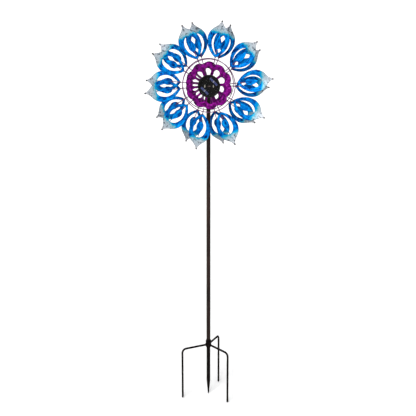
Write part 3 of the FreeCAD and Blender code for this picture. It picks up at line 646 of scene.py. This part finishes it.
def discGrid():
    # one tenth of the disc, between two spokes: a grid from the hole's rim out to the scallop, the two radial
    # creases and the hub; it rises between them, so the lobes stand proud of the creases
    s = discSpec
    many, few = s["arcSteps"], s["shortSteps"]
    step = math.pi / petalCount
    holeHalf = s["holeOuter"] * math.sin(step) / (1.0 + math.sin(step)) - s["bar"] / 4.0
    holeCentre = s["holeOuter"] - holeHalf
    innerHalf = s["holeInner"] * math.tan(step) - s["bar"] / 2.0
    arc = np.linspace(0.0, np.pi / 2.0, many)
    hole = np.concatenate([
        np.stack([holeCentre + holeHalf * np.cos(arc), holeHalf * np.sin(arc)], -1),
        np.linspace([holeCentre, holeHalf], [s["holeInner"], innerHalf], many)[1:],
        np.linspace([s["holeInner"], innerHalf], [s["holeInner"], 0.0], few)[1:]])
    valley = s["valley"] * np.array([math.cos(step), math.sin(step)])
    lobeCentre = (s["outer"] ** 2 - s["valley"] ** 2) / (2.0 * (s["outer"] - valley[0]))
    lobeRadius = s["outer"] - lobeCentre
    lobe = np.linspace(0.0, math.atan2(valley[1], valley[0] - lobeCentre), many)
    hubArc = np.linspace(step, 0.0, few)
    foot = s["hubRadius"] * np.array([math.cos(step), math.sin(step)])
    rim = np.concatenate([
        np.stack([lobeCentre + lobeRadius * np.cos(lobe), lobeRadius * np.sin(lobe)], -1),
        np.linspace(valley, foot, many)[1:],
        np.stack([s["hubRadius"] * np.cos(hubArc), s["hubRadius"] * np.sin(hubArc)], -1)[1:]])
    hole = np.concatenate([hole, hole[-2:0:-1] * [1.0, -1.0]])
    rim = np.concatenate([rim, rim[-2:0:-1] * [1.0, -1.0]])
    share = np.linspace(0.0, 1.0, s["rows"])[:, None, None]
    flat = hole * (1.0 - share) + rim * share
    radius = np.linalg.norm(flat, axis=-1)
    width = np.linalg.norm(rim - hole, axis=-1)[None, :]
    dish = s["dish"] - np.sqrt(s["dish"] ** 2 - radius ** 2)
    swell = np.sin(np.pi * share[..., 0]) ** 0.7
    swell = swell * np.clip((radius - s["embossFrom"]) / s["embossRun"], 0.0, 1.0)
    lip = np.exp(-(share[..., 0] * width / s["lipWidth"]) ** 2)
    # edge tone: painted shade, darkest at the hole's rim, at the scallop and along the creases
    nearEdge = np.minimum(share[..., 0], 1.0 - share[..., 0]) * width
    height = s["seat"] + s["sheet"] / 2.0 + dish + s["emboss"] * swell + s["lipRise"] * lip
    return np.concatenate([flat, height[..., None]], -1), np.clip(nearEdge / s["edgeShade"], 0.0, 1.0)


def buildDisc(name, rest, side, offset):
    # ten sectors welded along the creases, then thickened to the sheet
    sector, tone = discGrid()
    grids = []
    for index in range(petalCount):
        points = turned(sector, rest + 360.0 / petalCount * (index + 0.5)) + [0.0, 0.0, offset]
        grids.append({"points": toHead(points, side), "uv": points[..., :2] / patternUnit, "tone": tone,
                      "wrapColumns": True})
    piece = meshPiece(name, grids, [looks["disc"]], flip=side > 0, weld=5e-5, sharpAngle=65.0)
    thicken = piece.modifiers.new("sheet", "SOLIDIFY")
    thicken.thickness = discSpec["sheet"] * mm
    thicken.offset = 0.0
    return piece


wireSpec = {"radius": 2.0, "start": 12.0, "end": 185.5, "ring": 123.5, "ringSeat": 4.0, "solder": 3.1,
            "solderLength": 4.2, "solderRise": 1.2, "solderLump": 0.12, "petalJoint": 3.0, "capRun": 4.0,
            "capSteps": 5, "steps": 24}


def buildSpokes(name, rest, side, offset):
    # ten straight wires with round ends, r = sin t at 1 - cos t, and a lumpy ball of solder where each meets
    # the ring and the petal
    s = wireSpec
    quarter = np.linspace(0.0, np.pi / 2.0, s["capSteps"])
    cap = np.sin(quarter)
    along = np.concatenate([s["start"] + s["radius"] * (1.0 - np.cos(quarter)),
                            np.linspace(s["start"] + s["capRun"], s["end"] - s["capRun"], s["steps"]),
                            s["end"] - s["radius"] * (1.0 - np.cos(quarter[::-1]))])
    radii = s["radius"] * np.concatenate([cap, np.ones(s["steps"]), cap[::-1]])
    wire = tubeGrid(np.stack([along, 0.0 * along, 0.0 * along], -1), radii, 14)
    theta = np.linspace(0.0, np.pi, 11)
    swirl = np.linspace(0.0, 2.0 * np.pi, 16, endpoint=False)[None, :]
    size = s["solder"] * np.sin(theta)[:, None] * (1.0 + s["solderLump"] * np.sin(3.0 * swirl + 1.0))
    blob = np.stack([-s["solderLength"] * np.cos(theta)[:, None] + 0.0 * swirl, size * np.cos(swirl),
                     size * np.sin(swirl) + s["solderRise"]], -1)
    grids = []
    for index in range(petalCount):
        angle = rest + 360.0 / petalCount * index
        grids.append({"points": toHead(turned(wire + [0.0, 0.0, offset], angle), side), **lathed})
        for reach in (s["ring"], petalSpec["baseRadius"] + s["petalJoint"]):
            points = turned(blob + [reach, 0.0, offset], angle)
            grids.append({"points": toHead(points, side), "wrapColumns": True, "slot": 1})
    return meshPiece(name, grids, [looks["wire"], looks["solder"]], flip=side < 0)


def buildRing(name, side, offset):
    # hoop of the same wire in front of the spokes
    s = wireSpec
    hoop = beadGrid(s["ring"], s["radius"], steps=192) + [0.0, 0.0, offset + s["ringSeat"]]
    grid = {"points": toHead(hoop, side), **hooped}
    return meshPiece(name, [grid], [looks["wire"]], flip=side < 0)


hubSpec = {"bore": 6.55, "barrel": 10.0, "flange": 17.0, "flangeHalf": 4.0, "round": 0.8}


def buildHub(name, prefix, side, offset):
    # turned barrel with a flange, every edge rounded
    low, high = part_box(prefix + "_hub")
    back, front = sorted([abs(low.y) / mm, abs(high.y) / mm])
    s = hubSpec
    near, far = offset - s["flangeHalf"], offset + s["flangeHalf"]
    bore, barrel, flange = s["bore"], s["barrel"], s["flange"]
    profile = roundedProfile([(bore, back), (barrel, back), (barrel, near), (flange, near), (flange, far),
                              (barrel, far), (barrel, front), (bore, front)], s["round"])
    grid = {"points": toHead(ringGrid(profile), side), "wrapRows": True, **lathed}
    return meshPiece(name, [grid], [looks["hub"]], flip=side < 0)


rotors = {"front": {"side": 1.0, "rest": 5.3}, "rear": {"side": -1.0, "rest": -4.3}}
for prefix, spec in rotors.items():
    low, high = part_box(prefix + "_spokes")
    offset = abs(low.y + high.y) / 2.0 / mm
    side, rest, body = spec["side"], spec["rest"], prefix + "_rotor"
    for index in range(petalCount):
        petal = buildPetal(prefix + "Petal%02d" % (index + 1), rest + 360.0 / petalCount * index, side,
                           offset, looks[prefix + "Petal"])
        carry(petal, body, ["%s_petal_%02d" % (prefix, index + 1)])
    carry(buildDisc(prefix + "Disc", rest, side, offset), body, [prefix + "_flower_disc"])
    carry(buildSpokes(prefix + "Spokes", rest, side, offset), body, [prefix + "_spokes"])
    carry(buildRing(prefix + "Ring", side, offset), body, [prefix + "_wire_ring"])
    carry(buildHub(prefix + "Hub", prefix, side, offset), body, [prefix + "_hub"])
print("rotors ready")

poleSpec = {"radius": 10.0, "round": 1.4, "groove": 0.35, "grooveRise": 9.0, "grooveWidth": 1.6}


def buildPole(name, node):
    # tube with rolled ends and, above its lower end, the shallow groove of the swage, exp(-(height/width)^2)
    s = poleSpec
    low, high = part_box(node)
    bottom, top = low.z / mm, high.z / mm
    outline = roundedProfile([(0.0, bottom), (s["radius"], bottom), (s["radius"], top), (0.0, top)],
                             s["round"], 5)
    split = len(outline) // 2
    height = bottom + s["grooveRise"] + np.linspace(-3.0, 3.0, 13) * s["grooveWidth"] / 2.0
    wall = s["radius"] - s["groove"] * np.exp(-((height - bottom - s["grooveRise"]) / s["grooveWidth"]) ** 2)
    profile = np.concatenate([outline[:split], np.stack([wall, height], -1), outline[split:]])
    grid = {"points": ringGrid(profile, 64) * mm, **lathed}
    return meshPiece(name, [grid], [looks["coat"]])


forkSpec = {"collar": 14.1, "collarHeight": 38.0, "chamfer": 2.5, "bore": 8.8, "spike": 9.6, "tip": 3.0,
            "depth": 261.0, "taper": 77.0, "rod": 5.0, "rise": 12.67, "drop": 5.5, "reach": 143.0,
            "bend": 21.0, "legDepth": 260.0, "spikeRound": 2.6, "collarRound": 1.2, "capSteps": 7,
            "poleBead": {"out": 0.6, "radius": 1.5, "ripple": 0.14, "ripples": 17, "inset": 0.3},
            "armBead": {"out": 0.5, "radius": 1.9, "ripple": 0.16, "ripples": 9, "inset": 0.2},
            "legs": {"prong_back": 66.0, "prong_left": 200.0, "prong_right": 311.0}}


def buildSpike():
    # solid bar with a long taper to a blunt end
    s = forkSpec
    end, top = -s["depth"], s["collarHeight"]
    profile = roundedProfile([(0.0, end), (s["tip"], end), (s["spike"], end + s["taper"]), (s["spike"], 0.0),
                              (s["bore"], 0.0), (s["bore"], top), (0.0, top)], s["spikeRound"], 6)
    grid = {"points": ringGrid(profile, 64) * mm, **lathed}
    return meshPiece("forkSpike", [grid], [looks["fork"]])


def buildCollar():
    # turned collar with a rippled weld bead round the pole, round the spike and round each arm
    s = forkSpec
    height, outer, cut = s["collarHeight"], s["collar"], s["chamfer"]
    profile = roundedProfile([(s["bore"], 0.0), (outer - cut, 0.0), (outer, cut), (outer, height - cut),
                              (outer - cut, height), (s["bore"], height)], s["collarRound"])
    grids = [{"points": ringGrid(profile, 64) * mm, "wrapRows": True, **lathed}]
    weld = s["poleBead"]
    bead = beadGrid(poleSpec["radius"] + weld["out"], weld["radius"], weld["ripple"], weld["ripples"])
    for level in (weld["inset"], height - weld["inset"]):
        grids.append({"points": (bead + [0.0, 0.0, level]) * mm, **hooped})
    # the arm's bead stands in the YZ plane: the torus' own Z becomes X
    weld = s["armBead"]
    bead = beadGrid(s["rod"] + weld["out"], weld["radius"], weld["ripple"], weld["ripples"])
    bead = bead[..., [2, 1, 0]] * [1.0, 1.0, -1.0] + [outer - weld["inset"], 0.0, s["rise"]]
    for azimuth in s["legs"].values():
        grids.append({"points": turned(bead, azimuth) * mm, **hooped})
    return meshPiece("forkCollar", grids, [looks["fork"]])


def buildLeg(name, azimuth):
    # rod bent from a nearly level arm to a straight leg with a round end
    s = forkSpec
    start = np.array([s["spike"] + 1.0, s["rise"]])
    corner = np.array([s["reach"], s["rise"] - s["drop"]])
    arm = (corner - start) / np.linalg.norm(corner - start)
    swing = math.pi / 2.0 - math.atan2(-arm[1], arm[0])
    setback = s["bend"] * math.tan(swing / 2.0)
    bendEnd = corner - [0.0, setback]
    turn = np.linspace(swing, 0.0, 18)
    bend = bendEnd + s["bend"] * np.stack([np.cos(turn) - 1.0, np.sin(turn)], -1)
    capAngle = np.linspace(0.0, np.pi / 2.0, s["capSteps"])
    endCentre = -s["legDepth"] + s["rod"]
    cap = np.stack([np.full(s["capSteps"], s["reach"]), endCentre - s["rod"] * np.sin(capAngle)], -1)
    line = np.concatenate([np.linspace(start, bend[0], 14)[:-1], bend,
                           np.linspace(bendEnd, [s["reach"], endCentre], 24)[1:-1], cap])
    radii = np.concatenate([np.full(len(line) - s["capSteps"], s["rod"]), s["rod"] * np.cos(capAngle)])
    path = np.stack([line[:, 0], 0.0 * line[:, 0], line[:, 1]], -1)
    grid = {"points": turned(tubeGrid(path, radii, 20), azimuth) * mm, **lathed}
    return meshPiece(name, [grid], [looks["fork"]])


for part in ("lower", "middle", "upper"):
    node = "pole_" + part
    carry(buildPole("pole" + part.capitalize(), node), "stand", [node])
carry(buildSpike(), "stand", ["centre_spike"])
carry(buildCollar(), "stand", ["fork_collar"])
for node, azimuth in forkSpec["legs"].items():
    carry(buildLeg("leg" + node[6:].capitalize(), azimuth), "stand", [node])
print("pole and fork ready")

# heights are from the axle's middle; a tray's outline is in shares of its half widths
lampSpec = {"radius": 52.0, "rim": 98.0, "skirtBack": 94.8, "skirtRadius": 49.8, "skirtWall": 1.6,
            "floor": 100.0, "stepWidth": 1.7, "stepRise": 1.5, "steps": 3, "floorRadius": 43.9, "ledge": 1.5,
            "windowDepth": 2.0, "round": 0.4, "spacing": 20.0, "tall": (2.1, 6.8), "low": (7.0, 3.2),
            "tray": [(0.0, 0.1), (0.78, 0.15), (0.88, 0.55), (0.97, 0.55), (1.04, -0.3), (0.0, -0.3)],
            "flange": 2.9, "flangeLow": -0.5, "flangeHigh": 0.4, "dome": 2.4, "domeBase": 0.5,
            "domeRise": 1.2, "domeSquash": 0.8}


def buildBezel():
    # moulded front: a floor, a seat for the window and three rounded steps down to the rim
    s = lampSpec
    windowRadius = s["floorRadius"] + s["ledge"]
    top = s["rim"] + 2.0 * s["steps"]
    seat = top - s["windowDepth"]
    outline = [(0.0, s["floor"]), (s["floorRadius"], s["floor"]), (s["floorRadius"], seat),
               (windowRadius, seat), (windowRadius, top)]
    for index in range(s["steps"]):
        reach = s["radius"] - s["stepWidth"] * (s["steps"] - 1 - index)
        outline.append((reach, top - s["stepRise"] * index))
        outline.append((reach, top - s["stepRise"] * (index + 1)))
    outline[-1] = (s["radius"], s["rim"])
    skirtInside = s["skirtRadius"] - s["skirtWall"]
    outline += [(s["skirtRadius"], s["rim"]), (s["skirtRadius"], s["skirtBack"]),
                (skirtInside, s["skirtBack"]), (skirtInside, s["rim"]), (0.0, s["rim"])]
    grid = {"points": toHead(ringGrid(roundedProfile(outline, s["round"], 3), 128)), "wrapColumns": True}
    return meshPiece("lampBezel", [grid], [looks["housing"]])


def buildLeds():
    # three flanged domes, each in a shallow tray: tall ones at the sides, whose pale lenses are painted
    # highlights, and a low one between, whose lens and tray are a painted dim highlight
    s = lampSpec
    t = np.linspace(0.0, np.pi / 2.0, 8)
    base, lip = s["floor"] + s["flangeLow"], s["floor"] + s["flangeHigh"]
    dome = np.stack([s["dome"] * np.cos(t), s["floor"] + s["domeBase"] + s["domeRise"] * np.sin(t)], -1)
    lens = np.concatenate([[(0.0, base), (s["flange"], base), (s["flange"], lip)], dome])
    lens = ringGrid(lens, 24) * [s["domeSquash"], s["domeSquash"], 1.0]
    grids = []
    for place, (halfX, halfY) in ((-1.0, s["tall"]), (0.0, s["low"]), (1.0, s["tall"])):
        shift = np.array([place * s["spacing"], 0.0, 0.0])
        dish = ringGrid(s["tray"], 48) * [halfX, halfY, 1.0] + [0.0, 0.0, s["floor"]]
        grids.append({"points": toHead(dish + shift), "slot": 1 if place else 2, **lathed})
        grids.append({"points": toHead(lens + shift), "slot": 0 if place else 2, **lathed})
    return meshPiece("lampLeds", grids, [looks["lens"], looks["tray"], looks["dimHighlight"]])


carry(buildBezel(), "stand", ["lamp_bezel"])
carry(buildLeds(), "stand", ["led_lamps"])
print("lamp ready")

wears = {
    "coat": ["head_tee"],
    "zinc": ["spigot_lower", "spigot_upper", "axle", "front_thrust_washers", "rear_thrust_washers",
             "housing_screws", "head_screw"],
    "bright": ["rear_cap_nut"],
    "housing": ["lamp_back_shell", "battery_door", "switch_frame"],
    "switch": ["switch_slider"],
    "window": ["lamp_window"],
    "cell": ["solar_cells"],
    "strip": ["cell_busbars"],
    "board": ["circuit_board"],
    "sleeve": ["battery"],
    "bronze": ["front_bushes", "rear_bushes"],
}
for look, nodes in wears.items():
    for node in nodes:
        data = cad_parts[node].data
        data.materials.clear()
        data.materials.append(looks[look])
print("carried-over parts dressed")


def aim(holder, target):
    # turns a light so that its -Z looks at a point
    holder.rotation_euler = (Vector(target) - holder.location).to_track_quat("-Z", "Y").to_euler()


# each light is its name, place, width and power
studioSpec = {"halfWidth": 60.0, "front": -60.0, "curveStart": 5.5, "curve": 3.0, "wall": 9.0, "world": 0.5,
              "backdrop": 75.0, "sun": 2.1, "sunAngle": 28.0, "sunFrom": (-0.95, -2.61, 2.88),
              "lights": [("keyLight", (-1.9, -2.4, 2.2), 0.9, 12.0),
                         ("fillLight", (2.3, -1.4, 1.7), 0.6, 6.0)], "aimShare": 0.8}


def studio():
    # pale paper sweep: level floor, a quarter turn up behind, then a wall; soft sun, pale world, two lights
    s = studioSpec
    turn = np.linspace(0.0, np.pi / 2.0, 17)
    rise = np.stack([s["curveStart"] + s["curve"] * np.sin(turn), s["curve"] * (1.0 - np.cos(turn))], -1)
    side = np.concatenate([[(s["front"], 0.0)], rise, [(s["curveStart"] + s["curve"], s["wall"])]])
    across = np.array([-s["halfWidth"], s["halfWidth"]])
    points = np.empty((len(side), 2, 3))
    points[..., 0] = across
    points[..., 1] = side[:, :1]
    points[..., 2] = side[:, 1:] + cadBox[0][2]
    paper = clouded("palePaper", {"tones": [(0.3, "fafafa"), (0.7, "fcfcfc")], "patch": 900.0,
                                  "grain": (4.0, 0.02), "rough": (0.85, 0.95),
                                  "values": {"Specular IOR Level": 0.1}})
    meshPiece("studioSweep", [{"points": points, "flip": True}], [paper])
    # pale backdrop all round, which neither lights the object nor shades it: radius sin t, height -cos t
    t = np.linspace(0.0, np.pi, 25)
    pale = newMaterial("paleBackdrop", {"Base Color": hexColour("000000"), "Roughness": 1.0,
                                        "Specular IOR Level": 0.0, "Emission Strength": 1.0,
                                        "Emission Color": hexColour("ffffff")})[0]
    ball = ringGrid(np.stack([np.sin(t), -np.cos(t)], -1) * s["backdrop"], 48)
    backdrop = meshPiece("studioBackdrop", [{"points": ball, "wrapColumns": True}], [pale])
    for sight in ("visible_diffuse", "visible_glossy", "visible_transmission", "visible_shadow"):
        setattr(backdrop, sight, False)
    world = bpy.data.worlds.new("softWorld")
    bpy.context.scene.world = world
    world.use_nodes = True
    sky = world.node_tree.nodes["Background"].inputs
    sky["Color"].default_value = hexColour("ffffff")
    sky["Strength"].default_value = s["world"]
    sun = bpy.data.lights.new("softSun", "SUN")
    sun.energy = s["sun"]
    sun.angle = math.radians(s["sunAngle"])
    holder = bpy.data.objects.new("softSun", sun)
    bpy.context.scene.collection.objects.link(holder)
    holder.location = s["sunFrom"]
    aim(holder, (0.0, 0.0, 0.0))
    for name, place, size, power in s["lights"]:
        lamp = bpy.data.lights.new(name, "AREA")
        lamp.size = size
        lamp.energy = power
        holder = bpy.data.objects.new(name, lamp)
        bpy.context.scene.collection.objects.link(holder)
        holder.location = place
        aim(holder, (0.0, 0.0, axleZ * s["aimShare"]))
    bpy.context.scene.view_settings.view_transform = "Standard"


cameraSpec = {"lens": 64.55, "distance": 3.547, "rise": 0.2174, "azimuth": 1.717, "pitch": 12.81,
              "yaw": 0.065, "aimDepth": 0.062, "sensor": 36.0}


def camera():
    # stands in front of the flower, a little left and above it, and looks down past it at the pole
    s = cameraSpec
    a = math.radians(s["azimuth"])
    back = s["distance"] * math.cos(a)
    data = bpy.data.cameras.new("studioCamera")
    data.lens = s["lens"]
    data.sensor_width = s["sensor"]
    data.clip_end = 200.0
    holder = bpy.data.objects.new("studioCamera", data)
    bpy.context.scene.collection.objects.link(holder)
    holder.location = (-s["distance"] * math.sin(a), -s["aimDepth"] - back, axleZ + s["rise"])
    holder.rotation_euler = (math.radians(90.0 - s["pitch"]), 0.0, math.radians(s["yaw"]) - a)
    bpy.context.scene.camera = holder


studio()
camera()
print("studio ready")
